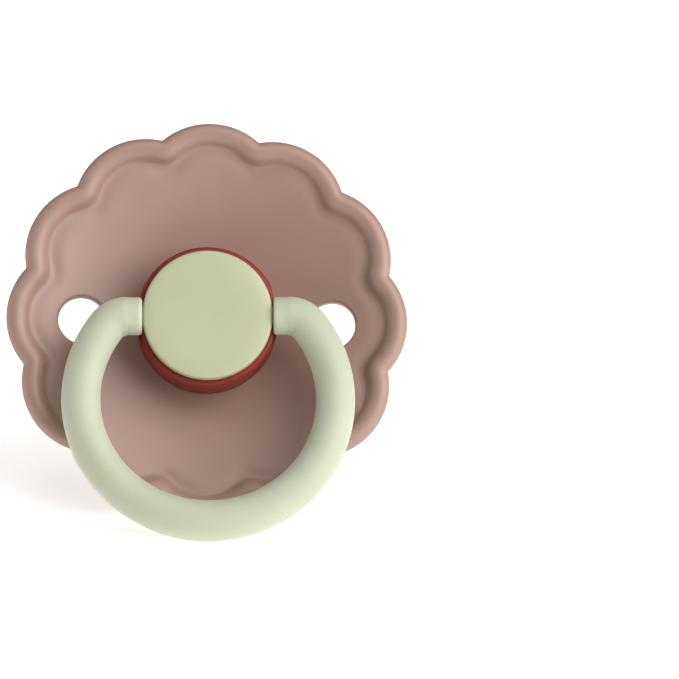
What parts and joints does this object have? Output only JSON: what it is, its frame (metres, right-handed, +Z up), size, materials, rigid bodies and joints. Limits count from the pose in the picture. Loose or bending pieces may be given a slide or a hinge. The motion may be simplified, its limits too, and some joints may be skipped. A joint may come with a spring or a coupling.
{
  "type": "baby pacifier",
  "caption": "Baby pacifier: scalloped dished shield with vent holes, hollow round rubber nipple, round front knob and a swinging D-ring handle.",
  "frame": {"origin": "on the table, under the middle of the pacifier's own box, as it stands leaning back on its nipple with the handle let down in front", "axes": "+X to the viewer's right across the shield, +Y from the front towards the nipple, +Z up from the table; the shield's front faces -Y and leans back 29.4 degrees"},
  "size_m": [0.044, 0.0474, 0.0386],
  "materials": {
    "shield_plastic": "satin moulded polypropylene, dusty pink",
    "natural_rubber": "smooth dipped natural rubber latex, amber and translucent",
    "collar_plastic": "satin moulded polypropylene, terracotta",
    "pale_green_plastic": "satin moulded polypropylene, pale yellow-green, slightly translucent"
  },
  "bodies": {
    "shield_body": {"shield": "shield_plastic", "nipple": "natural_rubber", "nipple_plug": "pale_green_plastic", "hub_collar": "collar_plastic", "button_cap": "pale_green_plastic"},
    "handle_body": {"handle": "pale_green_plastic"}
  },
  "joints": [
    {"name": "handle_swing", "type": "hinge", "parent": "shield_body", "child": "handle_body", "pos_m": [0, -0.00737, 0.02055], "axis": [-1, 0, 0], "range_deg": [-4.5, 168]}
  ]
}
